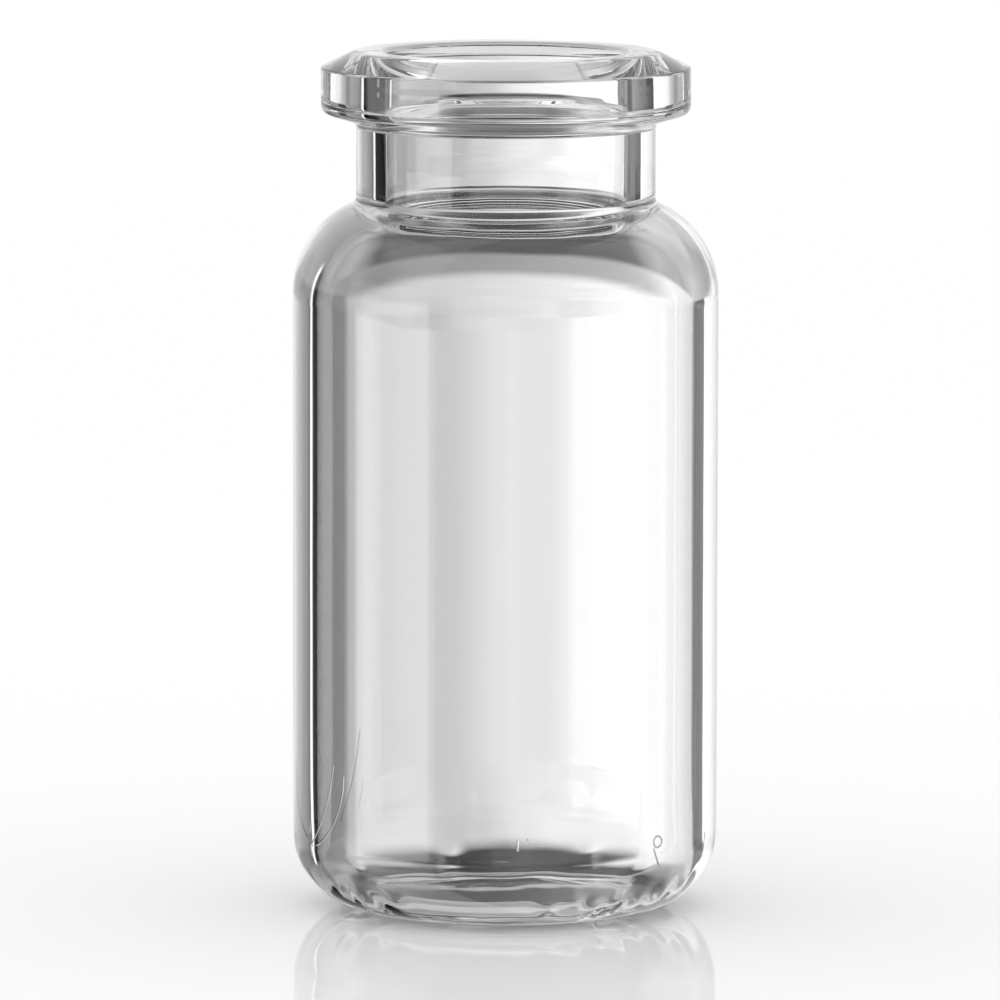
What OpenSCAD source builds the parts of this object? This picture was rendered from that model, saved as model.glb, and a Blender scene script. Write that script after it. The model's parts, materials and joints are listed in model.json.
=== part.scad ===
// Small crimp-neck sample vial, formed from one length of clear glass tube.
// The axis is Z. The vial stands on the ring around its foot, at z = 0.

/* [Body] */
// Overall height, from the foot to the crest of the mouth
height = 46.5; // [42:0.1:60]
// Outside diameter of the tube
body_d = 23; // [21.5:0.1:26]
// Thickness of the body's wall
wall = 1.3; // [0.9:0.05:1.8]

/* [Foot] */
// Outside radius of the heel, where the side turns into the foot
heel_r = 4; // [2.5:0.1:5]
// Radius of the heel's curve on the inside
inner_heel_r = 2.5; // [1.5:0.1:4]
// Thickness of the glass above the foot ring
foot_t = 1.1; // [0.8:0.05:2]
// Width of the flat ring that the vial stands on
foot_ring_w = 0.4; // [0.3:0.05:1]
// Height of the hollow pushed up under the middle of the foot
push_up = 0.58; // [0.3:0.05:1.2]
// Rise of the floor inside, from its edge to its middle
floor_rise = 0.5; // [0.2:0.05:1]
// Radius of the level middle of the hollow under the foot
middle_r = 2.2; // [1:0.1:3]
// Radius of the level middle of the floor inside
floor_middle_r = 1; // [0.5:0.1:3]

/* [Shoulder] */
// Outside radius of the shoulder's curve
shoulder_r = 5.2; // [4:0.1:6]
// Slope of the shoulder where it reaches the neck, in degrees from level
shoulder_slope = 27; // [15:1:35]
// Thickness of the glass in the shoulder, below the neck
shoulder_t = 1.5; // [1:0.05:2]
// Radius of the shoulder's curve on the inside
inner_shoulder_r = 4.5; // [3:0.1:5.5]
// Slope of the shoulder's inside where it reaches the bore
inner_slope = 23; // [12:1:30]
// Radius of the outside corner between shoulder and neck
neck_root_r = 0.4; // [0.2:0.1:1]

/* [Neck] */
// Outside diameter of the neck
neck_d = 16.2; // [15.6:0.1:17]
// Diameter of the bore through neck and lip
bore_d = 13.1; // [12.2:0.1:13.8]
// Length of the neck, from the shoulder to the underside of the lip
neck_l = 4.29; // [3:0.1:8]
// Radius of the inside corner between bore and shoulder
bore_root_r = 0.95; // [0.4:0.1:1.6]

/* [Lip] */
// Outside diameter of the crimp lip
lip_d = 20; // [19:0.1:21]
// Height of the whole lip, from its root on the neck to the crest
lip_h = 3.88; // [3.4:0.1:4.6]
// Height of the lip's upright side
lip_side_h = 2.43; // [1.9:0.05:2.7]
// Drop of the bevel, from the crest to the top of the side
bevel_drop = 0.9; // [0.5:0.02:1.2]
// Outside diameter of the crest, where the bevel starts
crest_d = 16.24; // [15.6:0.1:17.5]
// Radius of the crest's outside edge
crest_edge_r = 1.05; // [0.2:0.05:2]
// Radius of the mouth's inside edge
mouth_edge_r = 0.3; // [0.2:0.05:0.6]
// Radius of the edge between bevel and side
bevel_edge_r = 0.2; // [0.1:0.05:0.5]
// Radius of the edge between side and underside
lip_edge_r = 0.55; // [0.3:0.05:0.9]
// Radius of the corner between the lip's underside and the neck
lip_root_r = 0.42; // [0.2:0.1:0.8]

/* [Hidden] */
$fn = 128;

// Radii from the axis.
outer_r = body_d / 2;
inner_r = outer_r - wall;
neck_r = neck_d / 2;
bore_r = bore_d / 2;
lip_r = lip_d / 2;
crest_r = crest_d / 2;

// Heights of the corners on the outside, from the mouth down.
side_top_z = height - bevel_drop;
side_foot_z = side_top_z - lip_side_h;
lip_root_z = height - lip_h;
neck_root_z = lip_root_z - neck_l;
shoulder_z = neck_root_z - (outer_r - neck_r) * tan(shoulder_slope);

// The glass of the shoulder is measured across its slope, under the neck.
shoulder_step = shoulder_t / cos(shoulder_slope);
bore_root_z = neck_root_z + (neck_r - bore_r) * tan(shoulder_slope) - shoulder_step;
inner_shoulder_z = bore_root_z - (inner_r - bore_r) * tan(inner_slope);

// The foot stands on a narrow ring, and its middle is pushed up on both faces.
ring_in_r = outer_r - heel_r - foot_ring_w;
ring_edge_r = 2.8;
floor_edge_r = 6.2;
floor_z = foot_t + floor_rise;

// The slope from the ring to a level middle rounds off over most of that middle.
middle_blend = 0.9;
function blend_r(rise, middle) =
    middle_blend * middle / tan(atan(rise / (ring_in_r - middle)) / 2);

// Each corner of the glass section is [radius from the axis, height, corner radius].
// The list runs up the outside, over the crest, down the bore and across the floor.
outside = [
    [0, push_up, 0],
    [middle_r, push_up, blend_r(push_up, middle_r)],
    [ring_in_r, 0, ring_edge_r],
    [outer_r, 0, heel_r],
    [outer_r, shoulder_z, shoulder_r],
    [neck_r, neck_root_z, neck_root_r],
    [neck_r, lip_root_z, lip_root_r],
    [lip_r, side_foot_z, lip_edge_r],
    [lip_r, side_top_z, bevel_edge_r],
    [crest_r, height, crest_edge_r]
];
inside = [
    [bore_r, height, mouth_edge_r],
    [bore_r, bore_root_z, bore_root_r],
    [inner_r, inner_shoulder_z, inner_shoulder_r],
    [inner_r, foot_t, inner_heel_r],
    [ring_in_r, foot_t, floor_edge_r],
    [floor_middle_r, floor_z, blend_r(floor_rise, floor_middle_r)],
    [0, floor_z, 0]
];

function unit(v) = v / norm(v);
function place(corner) = [corner[0], corner[1]];
function neighbour(corners, i) = place(corners[(i + len(corners)) % len(corners)]);
function to_last(corners, i) = unit(neighbour(corners, i - 1) - place(corners[i]));
function to_next(corners, i) = unit(neighbour(corners, i + 1) - place(corners[i]));

// Half of the angle between the two edges that meet in a corner.
function half_angle(corners, i) = acos(to_last(corners, i) * to_next(corners, i)) / 2;

// How far from the corner an arc of the corner's full radius starts and ends.
function full_setback(corners, i) =
    corners[i][2] > 0 ? corners[i][2] / tan(half_angle(corners, i)) : 0;

// The part of its radius that a corner keeps, where the edge to the next corner is
// too short for the arcs at both its ends.
function edge_share(corners, i) =
    let (j = (i + 1) % len(corners))
    norm(neighbour(corners, j) - neighbour(corners, i))
    / max(full_setback(corners, i) + full_setback(corners, j), 0.001);
function share(corners, i) =
    min(1, edge_share(corners, i), edge_share(corners, (i - 1 + len(corners)) % len(corners)));
function fitted_r(corners, i) = corners[i][2] * share(corners, i);
function setback(corners, i) = full_setback(corners, i) * share(corners, i);

function arc_start(corners, i) =
    place(corners[i]) + setback(corners, i) * to_last(corners, i);
function arc_end(corners, i) =
    place(corners[i]) + setback(corners, i) * to_next(corners, i);
function arc_centre(corners, i) =
    place(corners[i])
    + fitted_r(corners, i) / sin(half_angle(corners, i))
    * unit(to_last(corners, i) + to_next(corners, i));

// In a list that runs anticlockwise, an outward corner turns left.
function turns_left(corners, i) =
    cross(to_next(corners, i), to_last(corners, i)) > 0;

// The sliver of a circle between a corner's arc and its chord.
module corner_arc(corners, i) {
    intersection() {
        translate(arc_centre(corners, i))
            circle(r = fitted_r(corners, i));
        polygon([arc_start(corners, i), place(corners[i]), arc_end(corners, i)]);
    }
}

// A closed outline whose corners are true arcs.
module rounded_outline(corners) {
    rounded = [for (i = [0:len(corners) - 1]) if (corners[i][2] > 0) i];
    difference() {
        union() {
            polygon([
                for (i = [0:len(corners) - 1])
                    each corners[i][2] > 0
                        ? [arc_start(corners, i), arc_end(corners, i)]
                        : [place(corners[i])]
            ]);
            for (i = rounded)
                if (turns_left(corners, i)) corner_arc(corners, i);
        }
        for (i = rounded)
            if (!turns_left(corners, i)) corner_arc(corners, i);
    }
}

// The whole vial is one turned form: foot, body, shoulder, neck and crimp lip.
module glass_vial() {
    color([0.85, 0.88, 0.88, 0.4])
        rotate_extrude()
            rounded_outline(concat(outside, inside));
}

glass_vial();
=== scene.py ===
"""A clear glass crimp-neck vial on a glossy white table, in soft studio light."""

import json
import math

import bmesh
import bpy
from mathutils import Matrix, Vector, noise


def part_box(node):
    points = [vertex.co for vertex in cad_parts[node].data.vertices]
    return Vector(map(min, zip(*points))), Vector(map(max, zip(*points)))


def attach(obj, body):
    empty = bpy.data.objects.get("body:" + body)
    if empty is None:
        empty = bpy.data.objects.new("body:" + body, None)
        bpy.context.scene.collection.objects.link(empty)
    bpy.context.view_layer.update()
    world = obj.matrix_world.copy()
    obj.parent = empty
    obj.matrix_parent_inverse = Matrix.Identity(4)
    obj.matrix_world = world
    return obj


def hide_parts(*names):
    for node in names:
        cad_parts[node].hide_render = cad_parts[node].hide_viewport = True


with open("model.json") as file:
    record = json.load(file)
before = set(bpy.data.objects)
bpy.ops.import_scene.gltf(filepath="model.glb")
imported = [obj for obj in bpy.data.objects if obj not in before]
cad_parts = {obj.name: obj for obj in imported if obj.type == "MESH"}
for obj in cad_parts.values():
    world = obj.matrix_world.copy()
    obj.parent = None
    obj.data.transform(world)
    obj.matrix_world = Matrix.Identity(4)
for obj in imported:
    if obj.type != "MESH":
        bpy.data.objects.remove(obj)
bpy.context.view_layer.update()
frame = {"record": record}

MM = 0.001
mounts = {mount["name"]: mount["dims"] for mount in frame["record"]["mounts"]}
foot_corner, crest_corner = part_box("glass_vial")

# ---------------------------------------------------------------- sizes, in mm

height = crest_corner.z / MM
body_r = mounts["body_side"]["r_mm"]
bore_r = mounts["neck_bore"]["r_mm"]
lip_r = mounts["lip_side"]["r_mm"]
wall = 1.3
inner_r = body_r - wall

heel_r = 4.0
inner_heel_r = 2.5
foot_t = 1.1
foot_ring_w = 0.4
ring_in_r = body_r - heel_r - foot_ring_w
ring_edge_r = 2.8
floor_edge_r = 6.2
push_up = 0.58
floor_rise = 0.5
floor_z = foot_t + floor_rise
middle_r = 2.2
floor_middle_r = 1.0
middle_blend = 0.9

neck_r = 8.1
neck_l = 4.29
neck_root_r = 0.4
shoulder_slope = math.radians(27)
shoulder_r = 5.2
shoulder_t = 1.5
inner_slope = math.radians(23)
inner_shoulder_r = 4.5
bore_root_r = 0.95

lip_h = 3.88
lip_side_h = 2.43
bevel_drop = 0.9
crest_r = 8.12
crest_edge_r = 1.05
mouth_edge_r = 0.3
bevel_edge_r = 0.2
lip_edge_r = 0.55
lip_root_r = 0.42

side_top_z = height - bevel_drop
side_foot_z = side_top_z - lip_side_h
lip_root_z = height - lip_h
neck_root_z = lip_root_z - neck_l
shoulder_z = neck_root_z - (body_r - neck_r) * math.tan(shoulder_slope)
shoulder_step = shoulder_t / math.cos(shoulder_slope)
bore_root_z = neck_root_z + (neck_r - bore_r) * math.tan(shoulder_slope) - shoulder_step
inner_shoulder_z = bore_root_z - (inner_r - bore_r) * math.tan(inner_slope)


def blend_r(rise, middle):
    """Radius of the curve that rounds a slope off into the foot's level middle."""
    slope = math.atan(rise / (ring_in_r - middle))
    return middle_blend * middle / math.tan(slope / 2)


# Each corner of the glass section is (radius from the axis, height, corner radius).
outside = [
    (0, push_up, 0),
    (middle_r, push_up, blend_r(push_up, middle_r)),
    (ring_in_r, 0, ring_edge_r),
    (body_r, 0, heel_r),
    (body_r, shoulder_z, shoulder_r),
    (neck_r, neck_root_z, neck_root_r),
    (neck_r, lip_root_z, lip_root_r),
    (lip_r, side_foot_z, lip_edge_r),
    (lip_r, side_top_z, bevel_edge_r),
    (crest_r, height, crest_edge_r),
]
inside = [
    (bore_r, height, mouth_edge_r),
    (bore_r, bore_root_z, bore_root_r),
    (inner_r, inner_shoulder_z, inner_shoulder_r),
    (inner_r, foot_t, inner_heel_r),
    (ring_in_r, foot_t, floor_edge_r),
    (floor_middle_r, floor_z, blend_r(floor_rise, floor_middle_r)),
    (0, floor_z, 0),
]

# How far the hot-formed faces wander into the glass, in mm.
tube_wander = 0.006
neck_wander = 0.022
heel_wander = 0.05

# The wandering mixes a slow wave with a quicker one. Waves per mm, and their shares of the
# reach. It starts from half of the reach and the shares come to less than that half.
slow_waves = 0.22
quick_waves = 0.75
slow_share = 0.4
quick_share = 0.08
quick_start = Vector((3, 7, 1))

# Shallow hollows in the heel: turn from the front in degrees, radius from the axis,
# height, width and depth.
hollows = [
    (-52, 9.0, 1.5, 0.7, 0.12),
    (-60, 9.4, 1.9, 0.5, 0.08),
    (-38, 9.1, 1.6, 0.6, 0.07),
    (-62, 8.7, 0.2, 0.6, 0.08),
    (-69, 9.6, 0.6, 0.7, 0.08),
    (-80, 10.6, 1.5, 0.8, 0.06),
    (14, 9.2, 1.6, 0.5, 0.09),
    (22, 9.4, 1.9, 0.45, 0.08),
    (30, 9.1, 1.5, 0.55, 0.12),
    (38, 9.3, 1.8, 0.45, 0.09),
    (47, 9.0, 1.4, 0.7, 0.1),
    (57, 9.2, 1.6, 0.8, 0.14),
    (68, 9.6, 2.2, 0.7, 0.1),
    (52, 8.8, 0.2, 0.7, 0.07),
    (35, 8.9, 0.3, 0.6, 0.05),
    (120, 9.2, 1.6, 0.8, 0.1),
    (150, 9.4, 1.9, 0.6, 0.08),
    (-115, 9.3, 1.7, 0.8, 0.1),
    (-160, 9.1, 1.5, 0.7, 0.09),
]

# ---------------------------------------------------------------- glass mesh

turn_steps = 256
arc_step = 0.14
arc_turn = math.radians(7)
line_step = 1.6


def draw_line(section, tip, end):
    """Carries the section's open end straight to a point, in even steps."""
    start = tip.co.copy()
    steps = max(1, round((end - start).length / (line_step * MM)))
    for _ in range(steps):
        tip = bmesh.ops.extrude_vert_indiv(section, verts=[tip])["verts"][0]
        tip.co += (end - start) / steps
    return tip


def draw_arc(section, tip, centre, angle, radius):
    """Carries the section's open end round a centre."""
    steps = max(2, math.ceil(abs(angle) * radius / arc_step), math.ceil(abs(angle) / arc_turn))
    turned = bmesh.ops.spin(
        section, geom=[tip], cent=centre, axis=(0, -1, 0), angle=angle, steps=steps
    )
    return next(part for part in turned["geom_last"] if isinstance(part, bmesh.types.BMVert))


def draw_section(section, corners):
    """Draws the open section: straight sides, and a true arc in each rounded corner."""
    places = [Vector((radius, 0, level)) * MM for radius, level, _ in corners]
    tip = section.verts.new(places[0])
    for before, place, after, corner in zip(places, places[1:], places[2:], corners[1:]):
        back, on = (before - place).normalized(), (after - place).normalized()
        half = back.angle(on) / 2
        radius = corner[2] * MM
        tip = draw_line(section, tip, place + back * radius / math.tan(half))
        centre = place + (back + on).normalized() * radius / math.sin(half)
        side = math.copysign(1, back.cross(on).y)
        tip = draw_arc(section, tip, centre, side * (math.pi - 2 * half), corner[2])
    draw_line(section, tip, places[-1])


def rise(number, low, high):
    """0 at low and 1 at high, with a soft rise between. It falls where high is under low."""
    share = min(1, max(0, (number - low) / (high - low)))
    return share * share * (3 - 2 * share)


def hollow_depth(place):
    """How deep the hollows are at a place in the heel, in mm."""
    depth = 0
    for turn, radius, level, width, deep in hollows:
        across = math.radians(turn)
        middle = Vector((radius * math.sin(across), -radius * math.cos(across), level))
        depth += deep * math.exp(-(((place - middle).length / width) ** 2))
    return depth


def wander_depth(place):
    """How far a face has wandered into the glass, in mm. It never comes out of its form."""
    heel = rise(place.z, 7, 3.5)
    neck = rise(place.z, 36, 38)
    reach = tube_wander + neck_wander * neck + heel_wander * heel
    slow = noise.noise(place * slow_waves)
    quick = noise.noise(place * quick_waves + quick_start)
    depth = reach * (0.5 + slow_share * slow + quick_share * quick)
    return depth + hollow_depth(place) if heel else depth


def make_vial():
    """Turns the glass section round the axis, then lets the faces wander a little."""
    form = bmesh.new()
    draw_section(form, outside + inside)
    bmesh.ops.spin(
        form,
        geom=form.verts[:] + form.edges[:],
        cent=(0, 0, 0),
        axis=(0, 0, 1),
        angle=2 * math.pi,
        steps=turn_steps,
        use_merge=True,
    )
    bmesh.ops.remove_doubles(form, verts=form.verts, dist=1e-7)
    bmesh.ops.recalc_face_normals(form, faces=form.faces)
    form.normal_update()
    moves = [vert.normal * wander_depth(vert.co / MM) * MM for vert in form.verts]
    for vert, move in zip(form.verts, moves):
        vert.co -= move
    for face in form.faces:
        face.smooth = True
    mesh = bpy.data.meshes.new("vial_glass")
    form.to_mesh(mesh)
    form.free()
    vial = bpy.data.objects.new("vial_glass", mesh)
    bpy.context.scene.collection.objects.link(vial)
    return vial


# ---------------------------------------------------------------- shader maths


class Value:
    """A number socket in a node tree. Expressions on it add Math nodes."""

    def __init__(self, tree, socket):
        self.tree = tree
        self.socket = socket

    def maths(self, operation, *others):
        node = self.tree.nodes.new("ShaderNodeMath")
        node.operation = operation
        for slot, other in zip(node.inputs, others):
            if isinstance(other, Value):
                self.tree.links.new(other.socket, slot)
            else:
                slot.default_value = other
        return Value(self.tree, node.outputs[0])

    def __add__(self, other):
        return self.maths("ADD", self, other)

    def __radd__(self, other):
        return self.maths("ADD", other, self)

    def __sub__(self, other):
        return self.maths("SUBTRACT", self, other)

    def __rsub__(self, other):
        return self.maths("SUBTRACT", other, self)

    def __mul__(self, other):
        return self.maths("MULTIPLY", self, other)

    def __rmul__(self, other):
        return self.maths("MULTIPLY", other, self)

    def absolute(self):
        return self.maths("ABSOLUTE", self)

    def ramp(self, low, high):
        """0 below low and 1 above high, with a soft rise between."""
        node = self.tree.nodes.new("ShaderNodeMapRange")
        node.interpolation_type = "SMOOTHSTEP"
        self.tree.links.new(self.socket, node.inputs["Value"])
        node.inputs["From Min"].default_value = low
        node.inputs["From Max"].default_value = high
        return Value(self.tree, node.outputs[0])


class Tree:
    """Adds nodes to a material's or the world's node tree."""

    def __init__(self, owner):
        owner.use_nodes = True
        self.tree = owner.node_tree
        self.tree.nodes.clear()

    def node(self, kind, settings=None, **sockets):
        made = self.tree.nodes.new(kind)
        for name, setting in (settings or {}).items():
            setattr(made, name, setting)
        for name, given in sockets.items():
            slot = made.inputs[int(name[1:])] if name[0] == "_" else made.inputs[name.replace("_", " ")]
            if isinstance(given, Value):
                self.tree.links.new(given.socket, slot)
            elif isinstance(given, bpy.types.NodeSocket):
                self.tree.links.new(given, slot)
            else:
                slot.default_value = given
        return made

    def value(self, node, output=0):
        return Value(self.tree, node.outputs[output])


def over(below, above, share):
    """above laid over below where share is 1."""
    return share * (above - below) + below


# ---------------------------------------------------------------- studio light

# This is not plain studio light. The camera sees plain white, and the table is lit by it.
# Rays through the glass, and rays mirrored by the glass or by the table's gloss, see the
# rings below. A ring gives a strength at compass angles in degrees,
# 0 straight behind the vial and positive to the right. 1 is white, and brightest is the
# strongest that a ring can hold. The strengths began as the result of a fit made outside this
# script, and were then rounded and changed. This is an open failure.
brightest = 4.0
degree = 180 / math.pi

# What the glass shows of the level band behind it, and of that in front. The halves are
# apart because a ring can't hold more stops, and its fine strips would blur.
level_back = [
    (-100, 2.6), (-86, 2.6), (-82, 0), (-61, 0), (-59, 0.35), (-57, 0), (-39.3, 0),
    (-38.6, 1.5), (-36.8, 1.5), (-36, 0.15), (-31, 0.3), (-21, 0.35), (-11, 0.3), (-9, 0.45),
    (-1, 0.66), (1, 0.84), (6, 1.08), (28, 1.15), (29, 1.7), (31, 1.0), (31.7, 0), (41, 0),
    (43, 0.13), (51, 0.13), (53, 0.2), (61, 0.3), (62, 0.1), (73, 0.1), (75, 1.2), (91, 1.2),
    (94, 0), (100, 0),
]
level_front = [
    (100, 0), (134, 0), (136, 0.1), (170, 1.8), (180, 1.3), (186, 1.2), (190, 0.5),
    (206, 0), (210, 0.1), (221, 1.2), (223, 2.6), (260, 2.6),
]
# What the glass shows from straight down, over the table, to the sides and up to the roof.
under_ring = [(-180, 0.8), (-70, 0.75), (-40, 0.6), (40, 0.6), (70, 0.75), (180, 0.8)]
table_ring = [
    (-180, 0.8), (-140, 1), (-95, 0.8), (-80, 0.7), (-50, 0.5), (-33, 0.5), (-18, 0.35),
    (8, 0.35), (14, 0.6), (24, 0.7), (35, 0.5), (60, 0.5), (100, 0.5), (115, 0.7), (180, 0.8),
]
table_middle_ring = [
    (-180, 0.8), (-140, 1.3), (-95, 1), (-80, 0.7), (-20, 0.7), (-12, 0.45), (8, 0.45),
    (16, 0.6), (40, 0.5), (55, 0.3), (100, 0.1), (115, 0.8), (180, 0.8),
]
table_edge_ring = [
    (-180, 0.6), (-150, 0.8), (-140, 1.3), (-95, 1.1), (-84, 0.05), (-52, 0.05), (-45, 0.2),
    (-36, 0.3), (-30, 0.5), (-20, 0.5), (-9, 0.5), (-5, 0.1), (-3, 0.03), (3, 0.04),
    (6, 0.3), (12, 0.6), (20, 0.7), (28, 0.9), (35, 0.6), (60, 0.45), (66, 0.1), (98, 0.1),
    (108, 0.8), (130, 0.9), (180, 0.6),
]
side_ring = [
    (-150, 0.95), (-144, 0.05), (-128, 0.05), (-120, 0.98), (-86, 0.98), (-82, 0.1), (-57, 0),
    (-39.3, 0), (-38.6, 1.5), (-36.8, 1.5), (-36, 0.15), (-30, 0.3), (-21, 0.35), (-11, 0.3),
    (-9, 0.45), (-1, 0.66), (1, 0.84), (6, 1.08), (29, 1.2), (31, 1), (31.7, 0), (42, 0.1),
    (53, 0.2), (61, 0.3), (62, 0.1), (73, 0.1), (75, 1), (120, 0.98), (128, 0.05),
    (144, 0.05), (150, 0.95),
]
raised_ring = [
    (-180, 0.6), (-150, 1), (-138, 1.3), (-100, 1.1), (-84, 0.2), (-60, 0.1), (-57, 0),
    (-39.3, 0), (-38.6, 1.4), (-36.8, 1.4), (-36, 0.3), (-15, 0.33), (-11, 0.45), (-9, 0.3),
    (-7, 0.01), (7, 0.01), (9, 0.3), (11, 0.4), (16, 0.35), (25, 0.35), (35, 0.5),
    (50, 0.7), (60, 0.5), (74, 0.9), (110, 0.8), (130, 0.4), (180, 0.5),
]
high_ring = [
    (-180, 0.5), (-138, 1.1), (-105, 0.8), (-82, 0.1), (-50, 0.1), (-38, 0.25), (-20, 0.3),
    (-8, 0.15), (5, 0.2), (15, 0.6), (30, 0.65), (40, 0.45), (50, 0.7), (62, 1), (92, 1.2),
    (112, 0.7), (135, 0.3), (180, 0.4),
]
roof_ring = [
    (-180, 0.5), (-120, 0.7), (-80, 0.9), (-60, 0.5), (-32, 0.2), (-24, 0.06), (24, 0.06),
    (34, 0.3), (60, 0.7), (100, 0.7), (140, 0.3), (180, 0.4),
]
overhead = 0.12

# Each ring takes over from the one below it between two heights, in degrees.
lower_rings = [(table_ring, -50, -40), (table_middle_ring, -30, -27), (table_edge_ring, -23.5, -21.5)]
level_start = (-12.5, -7.6)
side_start = (-5, -4.9)
upper_rings = [(raised_ring, 4.6, 5.8), (high_ring, 13, 17), (roof_ring, 40, 50)]
overhead_start = (64, 70)
mirror_level_start = (-14, -11)
mirror_high_start = (-1, 3)

# Straight behind the vial, the light falls off above this height.
shelf_start = (1.6, 2.8)
shelf_side = (5, 13)
shelf_drop = 0.6

# What the glass mirrors on its outside.
mirror_low = [
    (-180, 0.2), (-139, 0.1), (-137, 1.5), (-90, 1.2), (-82, 0), (-30, 0.1), (-18, 0.3),
    (10, 0.9), (20, 1.4), (45, 1.2), (60, 0.4), (90, 0.6), (110, 1.2), (150, 0.7), (180, 0.3),
]
mirror_level = [
    (-180, 0.5), (-150, 0.2), (-139, 0.1), (-137, 2.6), (-86, 2.6), (-82, 0), (-50, 0.1),
    (-36, 0.5), (-28, 0.8), (10, 0.9), (50, 0.7), (92, 1.2), (150, 1.3), (170, 0.5), (180, 0.5),
]
mirror_high = [(-180, 1), (-139, 1), (-137, 1.5), (-86, 1.5), (-82, 1), (180, 1)]


def ring(t, azimuth, stops):
    """The strength of a ring of panels at each compass angle."""
    first, last = stops[0][0], stops[-1][0]
    made = t.node("ShaderNodeValToRGB", _0=(azimuth - first) * (1 / (last - first)))
    band = made.color_ramp
    while len(band.elements) < len(stops):
        band.elements.new(0.5)
    for spot, (angle, strength) in zip(band.elements, stops):
        spot.position = (angle - first) / (last - first)
        spot.color = (*[strength / brightest] * 3, 1)
    return t.value(made) * brightest


def make_world():
    world = bpy.data.worlds.new("studio")
    bpy.context.scene.world = world
    # The table sees even white, so aimed samples of the world gain little and cost time.
    world.cycles.sampling_method = "NONE"
    t = Tree(world)
    way = t.node("ShaderNodeTexCoord").outputs["Generated"]
    parts = t.node("ShaderNodeSeparateXYZ", _0=way)
    x, y, z = (t.value(parts, n) for n in range(3))
    azimuth = x.maths("ARCTAN2", x, y) * degree
    round_front = azimuth + 360 * azimuth.maths("LESS_THAN", azimuth, 0)
    height_angle = z.maths("ARCSINE", z) * degree

    in_front = azimuth.maths("GREATER_THAN", azimuth.absolute(), level_back[-1][0])
    level = over(ring(t, azimuth, level_back), ring(t, round_front, level_front), in_front)
    shelf = height_angle.ramp(*shelf_start) * (1 - azimuth.absolute().ramp(*shelf_side))
    side = ring(t, azimuth, side_ring) * (1 - shelf * shelf_drop)

    seen = ring(t, azimuth, under_ring)
    for stops, low, high in lower_rings:
        seen = over(seen, ring(t, azimuth, stops), height_angle.ramp(low, high))
    seen = over(seen, level, height_angle.ramp(*level_start))
    seen = over(seen, side, height_angle.ramp(*side_start))
    for stops, low, high in upper_rings:
        seen = over(seen, ring(t, azimuth, stops), height_angle.ramp(low, high))
    seen = over(seen, overhead, height_angle.ramp(*overhead_start))

    mirrored = ring(t, azimuth, mirror_low)
    mirrored = over(mirrored, ring(t, azimuth, mirror_level), height_angle.ramp(*mirror_level_start))
    mirrored = over(mirrored, ring(t, azimuth, mirror_high), height_angle.ramp(*mirror_high_start))

    path = t.node("ShaderNodeLightPath")
    through = t.value(path, "Is Transmission Ray")
    glossy = t.value(path, "Is Glossy Ray")
    light = over(1.0, mirrored, glossy)
    light = over(light, seen, through)
    shade = t.node("ShaderNodeBackground", Color=(1, 1, 1, 1), Strength=light)
    t.node("ShaderNodeOutputWorld", Surface=shade.outputs[0])


# ---------------------------------------------------------------- materials

glass_ior = 1.5

# Fine lines in the drawn tube and round the rolled lip: noise cells per metre, how far a cell
# is drawn out along the tube and squashed in the lip, and depths in mm.
line_cells = 700
tube_stretch = 0.02
lip_stretch = 1.62
tube_line_depth = 0.003
lip_line_depth = 0.012

# Fine marks on the outside, laid out on the unrolled tube: distance round from the
# front and height, in mm. A scratch has a middle, a radius, and its ends' heights. Both
# sides of its circle are drawn between those heights, so it has a twin further round.
mark_w = 0.06
mark_depth = 0.03
mark_roughness = 0.2
scratches = [
    ((-18.3, 9.6), 7.7, 4.0, 8.5),
    ((-14.2, 8.0), 4.4, 4.0, 8.0),
    ((12.7, 5.4), 4.0, 3.3, 4.2),
    ((-6.3, 5.0), 7.0, 4.6, 5.1),
    ((9.15, 4.6), 0.3, 4.0, 5.2),
]
pits = [(1.23, 5.2), (1.99, 4.8), (-12.9, 3.9), (-7.4, 12.2)]


def marks_on_tube(t, around, level):
    """1 in the middle of each scratch and pit, 0 off them."""
    spot = t.node("ShaderNodeCombineXYZ", X=around, Y=level).outputs[0]

    def far_from(place):
        away = t.node("ShaderNodeVectorMath", {"operation": "DISTANCE"}, _0=spot, _1=(*place, 0))
        return t.value(away, "Value")

    nearest = far_from(pits[0])
    for place in pits[1:]:
        nearest = nearest.maths("MINIMUM", nearest, far_from(place))
    for middle, radius, low, high in scratches:
        off_line = (far_from(middle) - radius).absolute()
        past_end = (level - (low + high) / 2).absolute() - (high - low) / 2
        nearest = nearest.maths("MINIMUM", nearest, off_line.maths("MAXIMUM", off_line, past_end))
    return 1 - nearest.ramp(0.0, mark_w)


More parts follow.
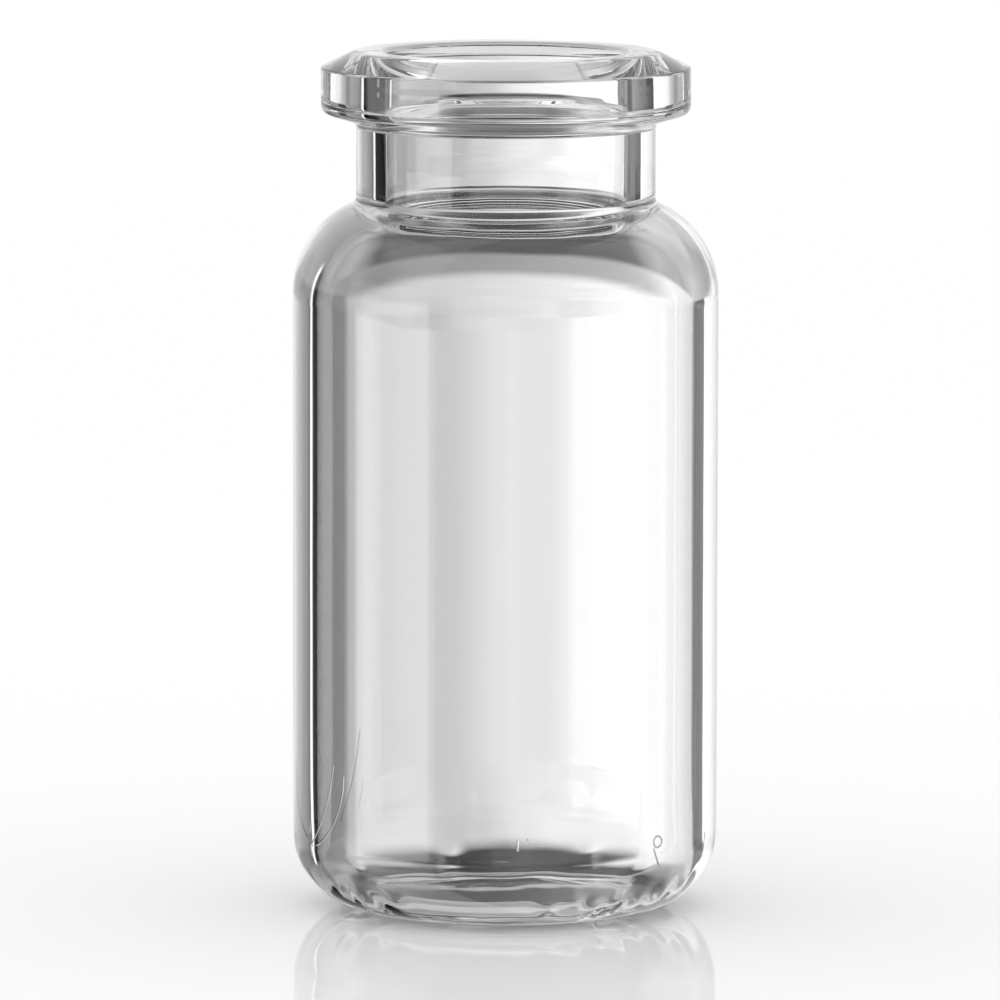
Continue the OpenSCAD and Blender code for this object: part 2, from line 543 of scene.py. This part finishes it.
def glass_material():
    material = bpy.data.materials.new("clear_glass")
    t = Tree(material)
    place = t.node("ShaderNodeTexCoord").outputs["Object"]
    parts = t.node("ShaderNodeSeparateXYZ", _0=place)
    x, y, z = (t.value(parts, n) * (1 / MM) for n in range(3))
    radius = x.maths("SQRT", x * x + y * y)
    around = x.maths("ARCTAN2", x, 0 - y) * body_r

    # Fine lines run along the drawn tube, and round the lip, which was rolled. They fade
    # out over the shoulder, where the glass was soft.
    lip = z.maths("GREATER_THAN", z, lip_root_z - neck_l / 2)
    upright = lip * (lip_stretch - tube_stretch) + tube_stretch
    stretch = t.node("ShaderNodeCombineXYZ", X=1 - lip, Y=1 - lip, Z=upright).outputs[0]
    grain = t.node("ShaderNodeVectorMath", {"operation": "MULTIPLY"}, _0=place, _1=stretch)
    cells = t.node("ShaderNodeTexNoise", Vector=grain.outputs[0], Scale=line_cells, Detail=1)
    tube_share = z.ramp(1.0, 4.0) * (1 - z.ramp(29.0, 33.0))
    lip_share = z.ramp(lip_root_z - 2, lip_root_z)
    lines = t.value(cells, "Fac") * (lip_share * lip_line_depth + tube_share * tube_line_depth)

    # Scratches, a small loop and pits, on the outside of the tube only.
    on_outside = radius.ramp(body_r - 0.5, body_r - 0.3)
    marks = marks_on_tube(t, around, z) * on_outside
    depth = lines - marks * mark_depth
    surface = t.node("ShaderNodeBump", Strength=1, Distance=MM, Height=depth)

    # The glass is polished but for its scratches.
    roughness = marks * mark_roughness
    glass = t.node(
        "ShaderNodeBsdfPrincipled",
        Roughness=roughness,
        IOR=glass_ior,
        Normal=surface.outputs[0],
    )
    glass.inputs["Base Color"].default_value = (0.99, 0.99, 0.99, 1)
    glass.inputs["Transmission Weight"].default_value = 1.0
    t.node("ShaderNodeOutputMaterial", Surface=glass.outputs[0])
    return material


# The table is glossy, but for this share of it.
matte_share = 0.45
gloss_roughness = 0.04


def table_material():
    """A white gloss table, left out of what is seen through or in the glass."""
    material = bpy.data.materials.new("white_table")
    t = Tree(material)
    path = t.node("ShaderNodeLightPath")
    white = t.node("ShaderNodeBsdfPrincipled", Roughness=gloss_roughness, IOR=glass_ior)
    white.inputs["Base Color"].default_value = (1, 1, 1, 1)
    matte = t.node("ShaderNodeBsdfDiffuse", Color=(1, 1, 1, 1))
    top = t.node("ShaderNodeMixShader", _0=matte_share, _1=white.outputs[0], _2=matte.outputs[0])
    clear = t.node("ShaderNodeBsdfTransparent")
    glassy = t.value(path, "Is Transmission Ray") + t.value(path, "Is Glossy Ray")
    hidden = glassy.ramp(0.0, 1.0)
    mix = t.node("ShaderNodeMixShader", _0=hidden, _1=top.outputs[0], _2=clear.outputs[0])
    t.node("ShaderNodeOutputMaterial", Surface=mix.outputs[0])
    return material


# ---------------------------------------------------------------- stage and camera

table_r = 3.0
camera_gap = 0.6
camera_pitch = math.radians(6.668)
camera_roll = math.radians(0.1)
frame_w = 1000 / 18.467 * MM
aim = Vector((-0.285, 0, 22.088)) * MM
sensor_w = 36.0


def make_table():
    form = bmesh.new()
    bmesh.ops.create_circle(form, cap_ends=True, segments=96, radius=table_r)
    mesh = bpy.data.meshes.new("table")
    form.to_mesh(mesh)
    form.free()
    table = bpy.data.objects.new("table", mesh)
    bpy.context.scene.collection.objects.link(table)
    table.data.materials.append(table_material())


def make_camera():
    data = bpy.data.cameras.new("camera")
    camera = bpy.data.objects.new("camera", data)
    bpy.context.scene.collection.objects.link(camera)
    data.sensor_width = sensor_w
    data.lens = sensor_w * camera_gap / frame_w
    data.clip_start = 0.01
    data.clip_end = 10
    away = Vector((0, -math.cos(camera_pitch), math.sin(camera_pitch))) * camera_gap
    tilt = Matrix.Rotation(math.pi / 2 - camera_pitch, 4, "X")
    roll = Matrix.Rotation(camera_roll, 4, "Z")
    camera.matrix_world = Matrix.Translation(aim + away) @ tilt @ roll
    bpy.context.scene.camera = camera


make_camera()
make_world()
make_table()
vial = make_vial()
vial.data.materials.append(glass_material())
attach(vial, "root")
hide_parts("glass_vial")

scene = bpy.context.scene
scene.view_settings.view_transform = "Standard"
# Light is trapped in the glass at the neck's root for more bounces than usual.
glass_bounces = 24
scene.cycles.max_bounces = glass_bounces
scene.cycles.transmission_bounces = glass_bounces
scene.cycles.glossy_bounces = glass_bounces
